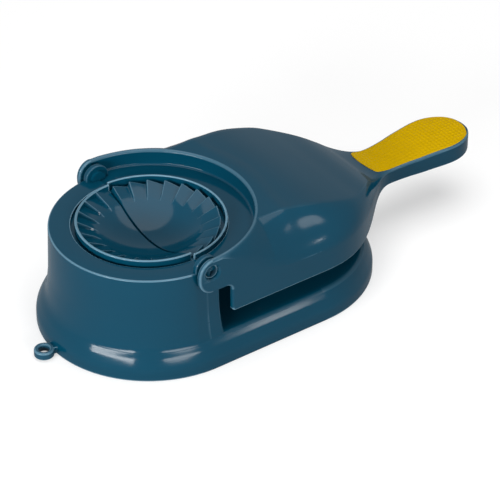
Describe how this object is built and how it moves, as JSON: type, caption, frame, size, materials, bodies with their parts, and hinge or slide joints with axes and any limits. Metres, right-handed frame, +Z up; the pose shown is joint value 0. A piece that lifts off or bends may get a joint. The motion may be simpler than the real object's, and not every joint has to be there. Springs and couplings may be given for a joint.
{
  "type": "dumpling and empanada press",
  "caption": "Hand press for dough discs with a round two-part crimping mould; the lever hinges on the mould's pot and folds over to close it.",
  "frame": {"origin": "on the table below the centre of the round press plates, which is the middle of the object's length and width", "axes": "+X towards the handle's end, +Y across the lever to its left side as seen from the handle's far end looking at the mould, +Z up"},
  "size_m": [0.294, 0.125, 0.068],
  "materials": {
    "blue_polypropylene": "glossy injection-moulded petrol-blue polypropylene",
    "yellow_grip": "matt mustard thermoplastic rubber with a fine moulded scale texture",
    "pin_plastic": "smooth turned petrol-blue plastic",
    "screw_steel": "zinc-plated steel",
    "foot_rubber": "matt black moulded rubber"
  },
  "bodies": {
    "base": {"base_tray": "blue_polypropylene", "fixed_mould_half": "blue_polypropylene", "fixed_mould_screws": "screw_steel", "lower_press_plate": "blue_polypropylene", "lower_plate_screws": "screw_steel", "foot_front_near": "foot_rubber", "foot_front_far": "foot_rubber", "foot_rear_near": "foot_rubber", "foot_rear_far": "foot_rubber", "hinge_pin_near": "pin_plastic", "hinge_pin_far": "pin_plastic"},
    "lever": {"lever_shell": "blue_polypropylene", "handle_grip": "yellow_grip", "grip_screws": "screw_steel", "moving_mould_half": "blue_polypropylene", "moving_mould_screws": "screw_steel", "upper_press_plate": "blue_polypropylene", "upper_plate_screws": "screw_steel"}
  },
  "joints": [
    {"name": "lever_fold", "type": "hinge", "parent": "base", "child": "lever", "pos_m": [-0.073, 0, 0.06], "axis": [0, -1, 0], "range_deg": [0, 180]}
  ]
}
